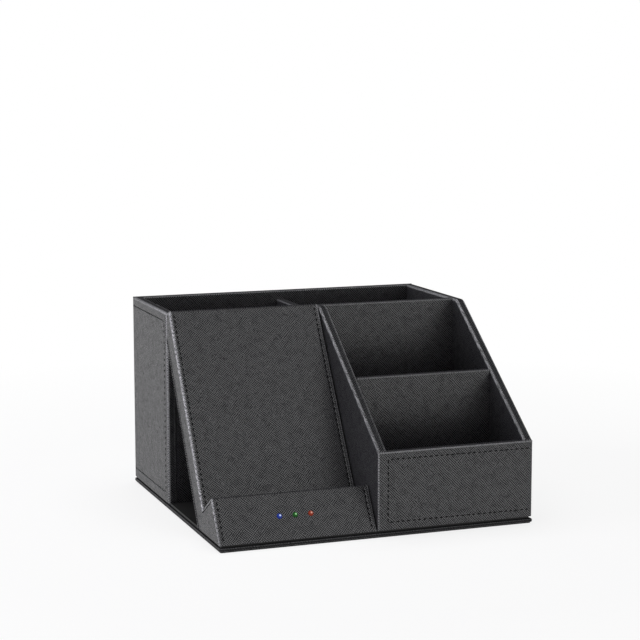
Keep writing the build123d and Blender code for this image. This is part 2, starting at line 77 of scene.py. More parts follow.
def reach(node, direction):
    """How far a CAD node extends along a direction: its lowest and highest distance from the panel's foot."""
    spread = [direction.dot(vertex.co - stand_foot) for vertex in frame["nodes"][node].data.vertices]
    return min(spread), max(spread)


print("panel leans", round(math.degrees(math.asin(panel_up.y)), 2), "degrees; foot at", stand_foot)

# %% [markdown]
# ## Pieces as prisms
# A board has one flat outline and one thickness, so a wrapped board is a prism: the outline, pushed along
# the thickness. Corners of the outline can be eased into short arcs first, because leather never folds to a
# knife edge. Four small rules say which plane an outline is drawn in. `skin` joins rings of points, here and
# in the round pieces further down.

# %% Views
def in_plan(a, b, depth):
    return Vector((a, b, depth))


def in_side_view(a, b, depth):
    return Vector((depth, a, b))


def in_front_view(a, b, depth):
    return Vector((a, depth, b))


def on_stand_side(up, forward, depth):
    return stand_foot + panel_up * up + panel_forward * forward + east * depth


def points(*values):
    return [Vector(value) for value in values]


def on_face(placed, depth, *places):
    """Points at one depth, from their two places in a view."""
    return [placed(a, b, depth) for a, b in places]


# %% Prisms
arc_steps = 6


def eased(corners, radius, closed=False, only=None):
    """The corners as a path whose turns are short arcs. `only` keeps the easing to some corners."""
    count = len(corners)
    path = []
    for index, corner in enumerate(corners):
        at_end = not closed and index in (0, count - 1)
        if at_end or (only is not None and index not in only):
            path.append(corner)
            continue
        start = corner + (corners[index - 1] - corner).normalized() * radius
        end = corner + (corners[(index + 1) % count] - corner).normalized() * radius
        for share in (step / arc_steps for step in range(arc_steps + 1)):
            path.append(start.lerp(corner, share).lerp(corner.lerp(end, share), share))
    return path


def skin(form, rings):
    """Joins each ring of vertices to the next with faces, and returns these ring by ring."""
    return [
        [form.faces.new((near[i - 1], near[i], far[i], far[i - 1])) for i in range(len(near))]
        for near, far in zip(rings, rings[1:])
    ]


def circle(form, centre, first, second, radius, count):
    """A ring of new vertices round a centre, in the plane of two directions."""
    turns = [2 * math.pi * number / count for number in range(count)]
    ways = [first * math.cos(turn) + second * math.sin(turn) for turn in turns]
    return [form.verts.new(centre + way * radius) for way in ways]


def prism(outline, low, high, placed):
    """A closed solid with the given outline, from depth low to depth high."""
    form = bmesh.new()
    near, far = ([form.verts.new(placed(a, b, depth)) for a, b in outline] for depth in (low, high))
    form.faces.new(near)
    form.faces.new(far[::-1])
    skin(form, [near, far])
    bmesh.ops.recalc_face_normals(form, faces=form.faces[:])
    return form


# %% [markdown]
# ## Folded edges
# Where leather turns over a board's edge it makes a narrow round fold that shines and wears first. `fold`
# rounds the chosen edges with a bevel and marks the new faces, so that the finish can find them later and
# paint them lighter, partly as rubbed wear and partly as a painted highlight.

# %% Folds
fold_radius = 0.75 * millimetre
small = 0.01 * millimetre
nearly = 0.9


def runs(way, axis):
    """Whether an edge runs along an axis."""
    return abs(way.dot(axis)) > nearly


def fold(form, chosen, radius=fold_radius, steps=4):
    """Rounds each edge that chosen(middle, direction, length) picks, and marks the round faces."""
    mark = form.faces.layers.int.new("folded")
    picked = []
    for edge in form.edges:
        start, end = (vertex.co for vertex in edge.verts)
        if chosen((start + end) / 2, (end - start).normalized(), (end - start).length):
            picked.append(edge)
    made = bmesh.ops.bevel(
        form, geom=picked, offset=radius, segments=steps, profile=0.5, affect="EDGES", clamp_overlap=True
    )
    for face in made["faces"]:
        face[mark] = 1


# %% [markdown]
# ## The hide's own coordinates
# The cross-hatch is pressed into the hide before it is cut, so it runs at the same pitch over every face. A
# UV map named "hide" holds metres on the leather: across is level, and up climbs the face. It is laid before
# the seams are pressed, so the pattern runs straight through them.

# %% Hide coordinates
level_slack = 0.01


def lay_hide(form):
    """Gives every face its place on the hide, in metres."""
    hide = form.loops.layers.uv.new("hide")
    form.normal_update()
    for face in form.faces:
        across = sky.cross(face.normal)
        across = across.normalized() if across.length > level_slack else east
        up = face.normal.cross(across)
        for loop in face.loops:
            loop[hide].uv = (loop.vert.co.dot(across), loop.vert.co.dot(up))


# %% [markdown]
# ## Pressed seams
# The sewing pulls the leather down into a shallow groove along each row of stitches. A bump alone would
# vanish at the outline and in a close view, so the groove is real: cuts are added beside the row and the
# vertices between them are pushed in. The push fades to nothing at the groove's rim. Where a row is seen
# along the wall, cuts across it let the leather dip under each stitch and swell between two, which is what
# makes such a row look dashed.

# %% Sewing paths
stitch_pitch = 3.1 * millimetre
stitch_length = 2.0 * millimetre


def nearest_on_path(point, path):
    """The distance from a point to a path, and how far along the path its nearest place is."""
    nearest, gone = (math.inf, 0), 0
    for start, end in zip(path, path[1:]):
        run = end - start
        share = min(1, max(0, run.dot(point - start) / run.length_squared))
        nearest = min(nearest, ((point - start - run * share).length, gone + run.length * share))
        gone += run.length
    return nearest


def along_path(path, distance):
    """The point and direction at a distance along a path."""
    for start, end in zip(path, path[1:]):
        run = (end - start).length
        if distance <= run or end is path[-1]:
            return start + (end - start) * min(1, distance / run), (end - start).normalized()
        distance -= run


def stitch_starts(path):
    """How far along a row each of its stitches starts."""
    length = sum((end - start).length for start, end in zip(path, path[1:]))
    count = int(length / stitch_pitch)
    first = (length - (count - 1) * stitch_pitch - stitch_length) / 2
    return [first + number * stitch_pitch for number in range(count)]


# %% Seams
seam_depth = 0.22 * millimetre
seam_reach = 0.80 * millimetre
seam_shares = (-1, -0.7, -0.35, 0, 0.35, 0.7, 1)
end_shares = (0, 0.5, 1)
corner_cuts = 7
dip, swell = 1.6, 0.45
same_way, dashed_way = 0.999, 0.99


def cut(form, normal, point, direction):
    """Adds a line across the flat face that the point lies on, where a plane through the point crosses it."""
    faces = [
        face for face in form.faces
        if face.normal.dot(normal) > same_way and abs(normal.dot(face.verts[0].co - point)) < small
    ]
    edges = {edge for face in faces for edge in face.edges}
    corners = {vertex for face in faces for vertex in face.verts}
    patch = [*corners, *edges, *faces]
    bmesh.ops.bisect_plane(form, geom=patch, plane_co=point, plane_no=direction, dist=small)


def press_seam(form, normal, corners, radius, dashed=None):
    """Presses a groove into the flat face that the corners lie on, and returns the sewing path. Where the row
    runs along `dashed`, the leather swells between the stitches."""
    for index, (start, end) in enumerate(zip(corners, corners[1:])):
        along = (end - start).normalized()
        side = normal.cross(along)
        for share in seam_shares:
            cut(form, normal, start + side * seam_reach * share, side)
        if index and radius > seam_reach:
            before = (start - corners[index - 1]).normalized()
            for step in range(1, corner_cuts):
                cut(form, normal, start - before * radius * step / corner_cuts, before)
                cut(form, normal, start + along * radius * step / corner_cuts, along)
    for end, before in ((corners[0], corners[1]), (corners[-1], corners[-2])):
        outwards = (end - before).normalized()
        for share in end_shares:
            cut(form, normal, end + outwards * seam_reach * share, outwards)
    path = eased(corners, radius)
    starts = stitch_starts(path)

    def runs_dashed(distance):
        return dashed is not None and abs(along_path(path, distance)[1].dot(dashed)) > dashed_way

    for start in starts:
        for ahead in ((stitch_length - stitch_pitch) / 2, 0, stitch_length / 2, stitch_length):
            if runs_dashed(start + ahead):
                cut(form, normal, *along_path(path, start + ahead))
    for vertex in form.verts:
        if abs(normal.dot(vertex.co - corners[0])) < small:
            distance, gone = nearest_on_path(vertex.co, path)
            away = distance / seam_reach
            if away < 1:
                pull = 1.0
                if runs_dashed(gone):
                    turn = (gone - starts[0] - stitch_length / 2) / stitch_pitch
                    pull = (0.5 + 0.5 * math.cos(2 * math.pi * turn)) * (dip + swell) - swell
                vertex.co -= normal * seam_depth * pull * (1 - away * away) ** 2
    return path


# %% [markdown]
# ## From form to piece
# `wrap_up` turns a form into an object: it marks the folds for the wear and the painted highlight, most
# along their middle, shades smooth where faces meet at a small angle, rides on the frame's one body and
# takes the place of a CAD node. Weighted normals let the wide flat faces shade flat, so that a fold's
# highlight stays as narrow as the fold.

# %% Pieces
smooth_angle = math.radians(42)
fold_rim = 0.45
hides, threads = [], []


def add_object(name, data):
    """A new object in the scene."""
    made = bpy.data.objects.new(name, data)
    bpy.context.scene.collection.objects.link(made)
    return made


def as_mesh(name, form):
    mesh = bpy.data.meshes.new(name)
    form.to_mesh(mesh)
    form.free()
    return mesh


def wrap_up(name, form, slot, *nodes):
    """Makes the form a piece of the object, in the place of the CAD nodes."""
    mark = form.faces.layers.int.get("folded")
    if mark:
        worn_and_highlighted = form.loops.layers.float.new("fold")
        for face in form.faces:
            for loop in face.loops:
                inside = all(near[mark] for near in loop.vert.link_faces)
                loop[worn_and_highlighted] = face[mark] * (1.0 if inside else fold_rim)
    mesh = as_mesh(name, form)
    mesh.polygons.foreach_set("use_smooth", [True] * len(mesh.polygons))
    mesh.set_sharp_from_angle(angle=smooth_angle)
    piece = add_object(name, mesh)
    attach(piece, "root")
    if nodes:
        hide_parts(*nodes)
    even = piece.modifiers.new("even_shading", "WEIGHTED_NORMAL")
    even.keep_sharp = True
    print(f"{name}: {len(mesh.vertices)} vertices")
    return piece


def wrap_hide(node, form):
    """Makes the form the hide that takes the place of a CAD sheet."""
    hides.append(wrap_up(node.removesuffix("_leather") + "_hide", form, "black_leather", node))


# %% [markdown]
# ## Thread
# Each stitch is a short piece of thread that lies in the groove and dives into the leather at both ends, at
# a slight slant, as a lockstitch does. One arched, tapered tube is drawn for each stitch, and all the
# stitches of a hide are one piece. A texture of dashes would be lighter, but would not catch the light or
# hide behind an edge.

# %% Stitches
thread_radius = 0.34 * millimetre
thread_rise = 0.19 * millimetre
stitch_slant = 0.09 * millimetre
stitch_rings, stitch_sides = 7, 8
stitch_taper = 0.7


def sew(name, normal, *paths):
    """The stitches along the paths of a hide, whose leather there faces along the normal, as one piece."""
    form = bmesh.new()
    thread_place = form.loops.layers.uv.new("hide")
    for path in paths:
        for first in stitch_starts(path):
            rings = []
            for ring in range(stitch_rings):
                share = ring / (stitch_rings - 1)
                rise = math.sin(math.pi * share)
                point, direction = along_path(path, first + share * stitch_length)
                side = normal.cross(direction)
                centre = point + side * stitch_slant * (2 * share - 1)
                thick = thread_radius * (stitch_taper + (1 - stitch_taper) * rise)
                centre += normal * (thread_rise * rise - thick + (rise - 1) * seam_depth)
                rings.append(circle(form, centre, side, normal, thick, stitch_sides))
            for ring, faces in enumerate(skin(form, rings)):
                for place, face in enumerate(faces):
                    side = (place - 1) % stitch_sides
                    ends = ((ring, side), (ring, side + 1), (ring + 1, side + 1), (ring + 1, side))
                    for loop, (step, turn) in zip(face.loops, ends):
                        run = stitch_length * step / (stitch_rings - 1)
                        loop[thread_place].uv = (run, 2 * math.pi * thread_radius * turn / stitch_sides)
            form.faces.new(rings[0][::-1])
            form.faces.new(rings[-1])
    bmesh.ops.recalc_face_normals(form, faces=form.faces[:])
    threads.append(wrap_up(name, form, "black_leather"))
    print(name, "has", sum(len(stitch_starts(path)) for path in paths), "stitches")


# %% [markdown]
# ## Left wall of the pen box
# Leather goes over its top and its front end, with an eased corner between. The folds are rounder here than
# on the thin inner walls, and catch a wider line of light. The outer face carries one seam: along the top,
# round the front corner and back along the foot. The camera looks along its upright part, so that part gets
# the dashed groove.

# %% Left wall
seam_inset = 5.1 * millimetre
seam_corner = 3.6 * millimetre
wall_corner = 1.8 * millimetre
wall_fold = 1.3 * millimetre

low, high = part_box("left_wall_leather")
outline = points((high.y, low.z), (high.y, high.z), (low.y, high.z), (low.y, low.z))
form = prism(eased(outline, wall_corner, closed=True, only=(2,)), low.x, high.x, in_side_view)


def wall_edges(middle, way, length):
    """The edges along the top and down the front, without those at the foot and the rear."""
    return not runs(way, east) and middle.z > low.z + small and middle.y < high.y - small


fold(form, wall_edges, radius=wall_fold)
lay_hide(form)
top, foot, front = high.z - seam_inset, low.z + seam_inset, low.y + seam_inset
corners = on_face(in_side_view, low.x, (high.y, top), (front, top), (front, foot), (high.y, foot))
path = press_seam(form, -east, corners, seam_corner, dashed=sky)
wrap_hide("left_wall_leather", form)
sew("left_wall_thread", -east, path)

# %% [markdown]
# ## Side walls of the tray
# Both are level along the pen box and then slope down to the front. The right one is on the outside of the
# organizer, and its seam follows the outline. The left one faces the stand and is plain. Their tops have the
# same round folds as the left wall, and their front ends have none, because the front wall's leather covers
# them.

# %% Sloped walls
def sloped_outline(node):
    """The side outline of a sloped wall: its box, and the slope read at the two ends of the sloping top."""
    low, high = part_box(node)
    tops = {}
    for vertex in frame["nodes"][node].data.vertices:
        tops.setdefault(round(vertex.co.y, 6), []).append(vertex.co.z)
    front_top = max(tops[round(low.y, 6)])
    level = [y for y, heights in tops.items() if max(heights) > high.z - small]
    return points((high.y, low.z), (high.y, high.z), (min(level), high.z), (low.y, front_top), (low.y, low.z))


def slope_edges(middle, way, length):
    """The edges along the top, without the uprights at the ends."""
    return not runs(way, east) and not runs(way, sky) and middle.z > foot_level + small


for node, sewn in (("right_wall_leather", True), ("tray_left_wall_leather", False)):
    low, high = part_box(node)
    outline = sloped_outline(node)
    form = prism(eased(outline, wall_corner, closed=True, only=(2,)), low.x, high.x, in_side_view)
    fold(form, slope_edges, radius=wall_fold)
    lay_hide(form)
    if sewn:
        slope_way = (outline[3] - outline[2]).normalized()
        inward = Vector((-slope_way.y, slope_way.x)) * seam_inset
        slope_top, slope_end = outline[2] + inward, outline[3] + inward
        top, foot = high.z - seam_inset, low.z + seam_inset
        start = slope_top + slope_way * ((top - slope_top.y) / slope_way.y)
        along_foot = on_face(in_side_view, high.x, (high.y, foot), (low.y, foot))
        down_slope = on_face(in_side_view, high.x, (high.y, top), (start.x, top), slope_end)
        paths = [press_seam(form, east, along_foot, 0), press_seam(form, east, down_slope, seam_corner)]
        sew("right_wall_thread", east, *paths)
    wrap_hide(node, form)

# %% [markdown]
# ## Walls between two others
# The pen box's front wall and the two dividers butt against their neighbours, so leather shows only on their
# faces and over their tops. They carry no seam.

# %% Inner walls
long_edge = 20 * millimetre


def top_edges(top):
    return lambda middle, way, length: middle.z > top - small and length > long_edge


for node in ("pen_front_wall_leather", "tray_divider_leather", "pen_divider_leather"):
    low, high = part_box(node)
    outline = points((low.x, low.z), (high.x, low.z), (high.x, high.z), (low.x, high.z))
    form = prism(outline, low.y, high.y, in_front_view)
    fold(form, top_edges(high.z))
    lay_hide(form)
    wrap_hide(node, form)

# %% [markdown]
# ## Rear wall and the tray's front wall
# These two have an outer sheet that runs on over the ends of the side walls. From above, each is a shallow
# T. A seam runs round the rear face. On the tray's front it runs along the top, down near the left edge and
# back along the foot, and both rows go on round the corner to the right wall.

# %% Faced walls
front_seam_top = 4.0 * millimetre
front_seam_side = 5.6 * millimetre


def faced_wall(name, outwards):
    """The form of a wall that faces outwards to the rear (1) or to the front (-1), and its box."""
    low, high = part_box(name + "_leather")
    inner_low, inner_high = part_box(name + "_board")
    outer_y, sheet_y, inner_y = high.y, inner_high.y, low.y
    if outwards < 0:
        outer_y, sheet_y, inner_y = low.y, inner_low.y, high.y
    outline = points(
        (low.x, outer_y), (low.x, sheet_y), (inner_low.x, sheet_y), (inner_low.x, inner_y),
        (inner_high.x, inner_y), (inner_high.x, sheet_y), (high.x, sheet_y), (high.x, outer_y),
    )
    along_top = top_edges(high.z)

    def chosen(middle, way, length):
        return along_top(middle, way, length) or (runs(way, sky) and abs(middle.y - outer_y) < small)

    form = prism(outline, low.z, high.z, in_plan)
    fold(form, chosen)
    lay_hide(form)
    return form, low, high


form, low, high = faced_wall("rear_wall", 1)
left, right, foot, top = low.x + seam_inset, high.x - seam_inset, low.z + seam_inset, high.z - seam_inset
corners = on_face(in_front_view, high.y, (left, foot), (left, top), (right, top), (right, foot))
along_foot = [corners[0], corners[-1]]
paths = [press_seam(form, north, corners, seam_corner), press_seam(form, north, along_foot, 0)]
wrap_hide("rear_wall_leather", form)
sew("rear_wall_thread", north, *paths)

form, low, high = faced_wall("tray_front_wall", -1)
left, right = low.x + front_seam_side, high.x - fold_radius
foot, top = low.z + front_seam_top, high.z - front_seam_top
corners = on_face(in_front_view, low.y, (right, top), (left, top), (left, foot), (right, foot))
path = press_seam(form, -north, corners, fold_radius)
wrap_hide("tray_front_wall_leather", form)
sew("tray_front_thread", -north, path)

# %% [markdown]
# ## Stand cover
# One sheet runs up the ledge's front, over the ledge, down to the shelf and up the whole panel, then over
# the panel's top. At both sides it turns round the boards in a wide soft rim, broader beside the panel than
# on the ledge, and its cut edge makes the step that shows in the notch. A bevel would choke on the notch's
# short edges, so the sheet is lofted: one profile is drawn again and again towards each side, and shrinks
# along a quarter circle.

# %% Cover profile
cover_skin = 1.5 * millimetre
panel_rim, ledge_rim = 1.40 * millimetre, 0.95 * millimetre
ledge_round, top_round = 1.2 * millimetre, 1.5 * millimetre
rim_steps = 6
rim_share = 0.8
cover_low, cover_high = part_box("stand_cover")
board_behind, shelf_depth = reach("stand_cover", panel_forward)
panel_top = reach("stand_cover", panel_up)[1]


def up_at_height(forward, z):
    """How far up the panel direction a point at this forward distance stands at height z."""
    return (z - stand_foot.z - forward * panel_forward.z) / panel_up.z


def rim_place(radius, turn):
    """How far a rim point is in from the side and down from the face, from 0 at the side to 1 on the face."""
    angle = math.pi / 2 * turn
    return radius * (1 - math.cos(angle)), radius * (1 - math.sin(angle))


def cover_profile(turn):
    """The sheet's outside from the ledge's foot to the panel's top, as (up, forward, in from the side)."""
    panel_in, panel_down = rim_place(panel_rim, turn)
    ledge_in, ledge_down = rim_place(ledge_rim, turn)
    front = shelf_depth - ledge_down
    corners = points(
        (up_at_height(front, foot_level), front, ledge_in),
        (-ledge_down, front, ledge_in),
        (-ledge_down, -panel_down, (ledge_in + panel_in) / 2),
        (panel_top - panel_down, -panel_down, panel_in),
        (panel_top - panel_down, board_behind, panel_in),
    )
    over_ledge = eased(corners[:3], ledge_round - ledge_down * rim_share)
    over_top = eased(corners[2:], top_round - panel_down * rim_share)
    return over_ledge[:-1] + over_top


def cover_lining():
    """The sheet's inside, back from the panel's top to the ledge's foot."""
    front = shelf_depth - cover_skin
    top = panel_top - cover_skin
    return [
        (top, board_behind), (top, -cover_skin), (-cover_skin, -cover_skin),
        (-cover_skin, front), (up_at_height(front, foot_level), front),
    ]


# %% Cover
form = bmesh.new()
mark = form.faces.layers.int.new("folded")
rings, outside = [], len(cover_profile(1))
turns = [step / rim_steps for step in range(rim_steps + 1)]
for side_x, inward, order in ((cover_low.x, 1, turns), (cover_high.x, -1, turns[::-1])):
    for turn in order:
        profile = cover_profile(turn)
        inward_most = max(point[2] for point in profile)
        ring = [on_stand_side(up, forward, side_x + inward * away) for up, forward, away in profile]
        ring += [on_stand_side(up, forward, side_x + inward * inward_most) for up, forward in cover_lining()]
        rings.append([form.verts.new(corner) for corner in ring])
for number, faces in enumerate(skin(form, rings)):
    for place, face in enumerate(faces):
        face[mark] = int(number != rim_steps and 0 < place < outside)
form.faces.new(rings[0])
form.faces.new(rings[-1][::-1])
bmesh.ops.recalc_face_normals(form, faces=form.faces[:])
lay_hide(form)
rim_seam = 2.6 * millimetre
seam_start = 2.0 * millimetre
on_panel = (seam_start, panel_top - seam_start)
on_ledge = (up_at_height(shelf_depth, foot_level) + seam_start, -seam_start)
stand_paths = []
for side_x in (cover_low.x + rim_seam, cover_high.x - rim_seam):
    for forward, ends in ((0, on_panel), (shelf_depth, on_ledge)):
        corners = [on_stand_side(up, forward, side_x) for up in ends]
        stand_paths.append(press_seam(form, panel_forward, corners, 0))
wrap_hide("stand_cover", form)
sew("stand_thread", panel_forward, *stand_paths)

# %% [markdown]
# ## Side sheets of the stand
# Each side of the stand is closed by a sheet that ends just inside the folded rim. A hair of a gap and a
# slightly lower level make the dark line that runs along the notch.

# %% Side sheets
rim_gap = 0.15 * millimetre
side_step = 0.25 * millimetre
sheet_edge = 0.3 * millimetre
inset = cover_skin + rim_gap
stand_rear_y = cover_high.y
back_level = reach("stand_left_leather", panel_forward)[0]


def up_at_depth(forward, y):
    """How far up the panel direction a point at this forward distance reaches depth y."""
    return (y - stand_foot.y - forward * panel_forward.y) / panel_up.y


def forward_at_depth(up, y):
    """The forward distance at which a point this far up lies at depth y."""
    return (y - stand_foot.y - up * panel_up.y) / panel_forward.y


side_outline = points(
    (up_at_height(shelf_depth - inset, foot_level), shelf_depth - inset),
    (-inset, shelf_depth - inset),
    (-inset, -inset),
    (panel_top - inset, -inset),
    (panel_top - inset, forward_at_depth(panel_top - inset, stand_rear_y)),
    (up_at_depth(back_level, stand_rear_y), back_level),
    (up_at_height(back_level, foot_level), back_level),
)
for node, outer, step in (("stand_left_leather", 0, 1), ("stand_right_leather", 1, -1)):
    ends = [corner.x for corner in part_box(node)]
    outer_x, inner_x = ends[outer] + step * side_step, ends[1 - outer]
    form = prism(side_outline, min(outer_x, inner_x), max(outer_x, inner_x), on_stand_side)

    def outer_edges(middle, way, length):
        return not runs(way, east) and abs(middle.x - outer_x) < small and middle.z > foot_level + small

    fold(form, outer_edges, radius=sheet_edge, steps=3)
    lay_hide(form)
    wrap_hide(node, form)

# %% [markdown]
# ## Base
# A thin board under everything, wrapped in the same leather. Only its edge shows, with a small round at its
# top.

# %% Base
base_fold = 0.45 * millimetre
base_corner = 1.6 * millimetre
low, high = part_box("base_leather")
outline = points((low.x, low.y), (high.x, low.y), (high.x, high.y), (low.x, high.y))
form = prism(eased(outline, base_corner, closed=True), low.z, high.z, in_plan)
fold(form, lambda middle, way, length: not runs(way, sky), radius=base_fold, steps=3)
lay_hide(form)
wrap_hide("base_leather", form)

# %% [markdown]
# ## Lights
# Three small clear lenses stand a little proud of the ledge, blue, green and red. A lens is round about its
# own axis, so its profile is turned once round: a short barrel, then a dome.

# %% Lenses
dome_rise = 0.55 * millimetre
lens_rim = 1.5 * millimetre
lens_turns, dome_steps = 40, 8
lens_centres, lenses = {}, {}
for node in ("blue_lens", "green_lens", "red_lens"):
    low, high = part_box(node)
    barrel_back = reach(node, panel_forward)[0]
    middle_up = sum(reach(node, panel_up)) / 2
    centre = on_stand_side(middle_up, shelf_depth, (low.x + high.x) / 2)
    lens_centres[node] = centre
    profile = [(lens_rim, barrel_back - shelf_depth)]
    for step in range(dome_steps):
        angle = math.pi / 2 * step / dome_steps
        profile.append((lens_rim * math.cos(angle), dome_rise * math.sin(angle)))
    form = bmesh.new()
    rings = [
        circle(form, centre + panel_forward * rise, east, panel_up, radius, lens_turns)
        for radius, rise in profile
    ]
    skin(form, rings)
    top = form.verts.new(centre + panel_forward * dome_rise)
    for turn in range(lens_turns):
        form.faces.new((rings[-1][turn - 1], rings[-1][turn], top))
    form.faces.new(rings[0])
    bmesh.ops.recalc_face_normals(form, faces=form.faces[:])
    lenses[node] = wrap_up(node.replace("lens", "light"), form, node, node)

# %% [markdown]
# # Finishes
# Effects that several finishes share are node groups, built once and placed in each material with its own
# values. `put` adds a node and feeds it, and the other helpers are short names for steps that come back.

# %% Node helpers
def feed(tree, node, feeds):
    """Feeds a node's inputs with numbers, colours or other nodes' outputs, and returns the node."""
    for key, value in dict(feeds).items():
        if isinstance(value, bpy.types.NodeSocket):
            tree.links.new(value, node.inputs[key])
        else:
            node.inputs[key].default_value = value
    return node


def put(tree, kind, feeds=(), **settings):
    """Adds a node, sets it up and feeds it."""
    node = tree.nodes.new("ShaderNode" + kind)
    for key, value in settings.items():
        setattr(node, key, value)
    return feed(tree, node, feeds)


def arithmetic(tree, operation, first, second=0.0, third=0.0):
    """One step of arithmetic, as a socket."""
    return put(tree, "Math", {0: first, 1: second, 2: third}, operation=operation).outputs[0]


def times(tree, first, second):
    return arithmetic(tree, "MULTIPLY", first, second)


def weigh(tree, value, weight, start):
    """The start, plus the value times its weight."""
    return arithmetic(tree, "MULTIPLY_ADD", value, weight, start)


def one_minus(tree, value):
    return arithmetic(tree, "SUBTRACT", 1.0, value)


def vectors(tree, operation, first, second=(0, 0, 0), output="Vector"):
    """One step of arithmetic with vectors, as a socket."""
    return put(tree, "VectorMath", {0: first, 1: second}, operation=operation).outputs[output]


def scaled(tree, place, scale):
    return put(tree, "VectorMath", {0: place, "Scale": scale}, operation="SCALE").outputs[0]


def in_units(tree, place, unit):
    """A place, told in multiples of a length."""
    return scaled(tree, place, arithmetic(tree, "DIVIDE", 1.0, unit))


def remap(tree, value, low, high, start=0.0, end=1.0):
    """A number that goes from start to end while the value goes from low to high."""
    return put(tree, "MapRange", {0: value, 1: low, 2: high, 3: start, 4: end}).outputs[0]


def noise(tree, place, scale, detail, roughness=0.5, output="Fac"):
    feeds = {"Vector": place, "Scale": scale, "Detail": detail, "Roughness": roughness}
    return put(tree, "TexNoise", feeds).outputs[output]


def clamp(tree, value):
    return put(tree, "Clamp", {0: value}).outputs[0]


# %% Group helpers
def new_group(name, values, *outputs):
    """An empty node group that takes a place and named values and gives numbers. Returns it with the sockets
    that it is given and the node that takes its results."""
    group = bpy.data.node_groups.new(name, "ShaderNodeTree")
    for label, value in {"Place": (0, 0, 0), **values}.items():
        kind = "NodeSocketVector" if isinstance(value, tuple) else "NodeSocketFloat"
        group.interface.new_socket(label, in_out="INPUT", socket_type=kind).default_value = value
    for label in outputs:
        group.interface.new_socket(label, in_out="OUTPUT", socket_type="NodeSocketFloat")
    return group, group.nodes.new("NodeGroupInput").outputs, group.nodes.new("NodeGroupOutput")


def place_group(tree, group, feeds):
    """Places a group in a tree, and returns its outputs."""
    return put(tree, "Group", feeds, node_tree=group).outputs


# %% [markdown]
# ## Group: cross-hatch
# The embossing is two sets of fine ridges that cross at a right angle, each at 45 degrees to the board's
# edges. A cosine across each set gives the ridges. A noise lets the lines wander, and another, stretched
# along the lines, makes them fade to the level of the plain hide and return. A third breaks the ridges into
# uneven beads. The falling set is the stronger one, as on the real hide.

# %% Cross-hatch group
falling_strength, rising_strength = 0.85, 0.60
wander_scale, fade_scale, bead_scale = 0.3, 0.4, 1.3
fade_stretch, fade_low, fade_high = 0.25, 0.38, 0.60
bead_height = 1.1
noise_apart = 7
diagonal = math.sqrt(0.5)
hatch, given, result = new_group("cross_hatch", {"Pitch": 0.001, "Wander": 0.25, "Fading": 0.5}, "Height")
place = in_units(hatch, given["Place"], given["Pitch"])
drift = noise(hatch, place, wander_scale, 2.0, output="Color")
centred = vectors(hatch, "SUBTRACT", drift, (0.5, 0.5, 0.5))
wandered = vectors(hatch, "ADD", place, scaled(hatch, centred, given["Wander"]))
parts = put(hatch, "SeparateXYZ", {0: wandered}).outputs
falling = times(hatch, arithmetic(hatch, "ADD", parts[0], parts[1]), diagonal)
rising = times(hatch, arithmetic(hatch, "SUBTRACT", parts[0], parts[1]), diagonal)
relief = 0.5
for across, along, strength in ((falling, rising, falling_strength), (rising, falling, rising_strength)):
    wave = arithmetic(hatch, "COSINE", times(hatch, across, 2 * math.pi))
    feeds = {0: across, 1: times(hatch, along, fade_stretch), 2: noise_apart * strength}
    stretched = put(hatch, "CombineXYZ", feeds).outputs[0]
    shown = remap(hatch, noise(hatch, stretched, fade_scale, 2.5), fade_low, fade_high)
    share = one_minus(hatch, times(hatch, given["Fading"], one_minus(hatch, shown)))
    relief = weigh(hatch, wave, times(hatch, share, strength), relief)
beads = arithmetic(hatch, "SUBTRACT", noise(hatch, place, bead_scale, 1.0), 0.5)
feed(hatch, result, {"Height": clamp(hatch, weigh(hatch, beads, bead_height, relief))})
print("cross_hatch:", len(hatch.nodes), "nodes")

# %% [markdown]
# ## Group: fold wear and painted highlight
# Folds are rubbed first, and they are also painted lighter as a highlight. The pieces carry a "fold" value,
# 1 along the middle of a fold and 0 on the flats. The group breaks it up with fine noise, so that the
# lighter edge shows as small bright specks and not as an even line.

# %% Fold wear group
# Marks where folds are painted lighter, as rubbed wear and as a painted highlight.
fold_wear_and_highlight, given, result = new_group("fold_wear_and_highlight", {"Speck size": 0.0008, "Evenness": 0.4}, "Wear and highlight")
on_fold = put(fold_wear_and_highlight, "Attribute", attribute_name="fold").outputs["Fac"]
specks = noise(fold_wear_and_highlight, in_units(fold_wear_and_highlight, given["Place"], given["Speck size"]), 1.0, 2.0)
rubbing_and_highlight = remap(fold_wear_and_highlight, specks, 0.35, 0.65, given["Evenness"])
feed(fold_wear_and_highlight, result, {"Wear and highlight": times(fold_wear_and_highlight, on_fold, rubbing_and_highlight)})
print("fold_wear_and_highlight:", len(fold_wear_and_highlight.nodes), "nodes")

# %% [markdown]
# ## Group: mottle
# No hide, board or moulding is one even tone. This group gives a slow change of tone and a height to go with
# it, at a size that each finish chooses.

# %% Mottle group
defaults = {"Size": 0.01, "Roughness": 0.6, "Contrast": 1.0}
mottle, given, result = new_group("mottle", defaults, "Tone", "Height")
clouds = noise(mottle, in_units(mottle, given["Place"], given["Size"]), 1.0, 4.0, given["Roughness"])
spread = times(mottle, arithmetic(mottle, "SUBTRACT", clouds, 0.5), given["Contrast"])
feed(mottle, result, {"Tone": clamp(mottle, weigh(mottle, spread, 2.0, 0.5)), "Height": clouds})
print("mottle:", len(mottle.nodes), "nodes")


def mottled(tree, place, size, contrast):
    return place_group(tree, mottle, {"Place": place, "Size": size, "Contrast": contrast})


# %% [markdown]
# ## Group: dust
# A few pale specks settle on faces that look up. The group multiplies the upward part of the surface normal
# by a sparse noise.

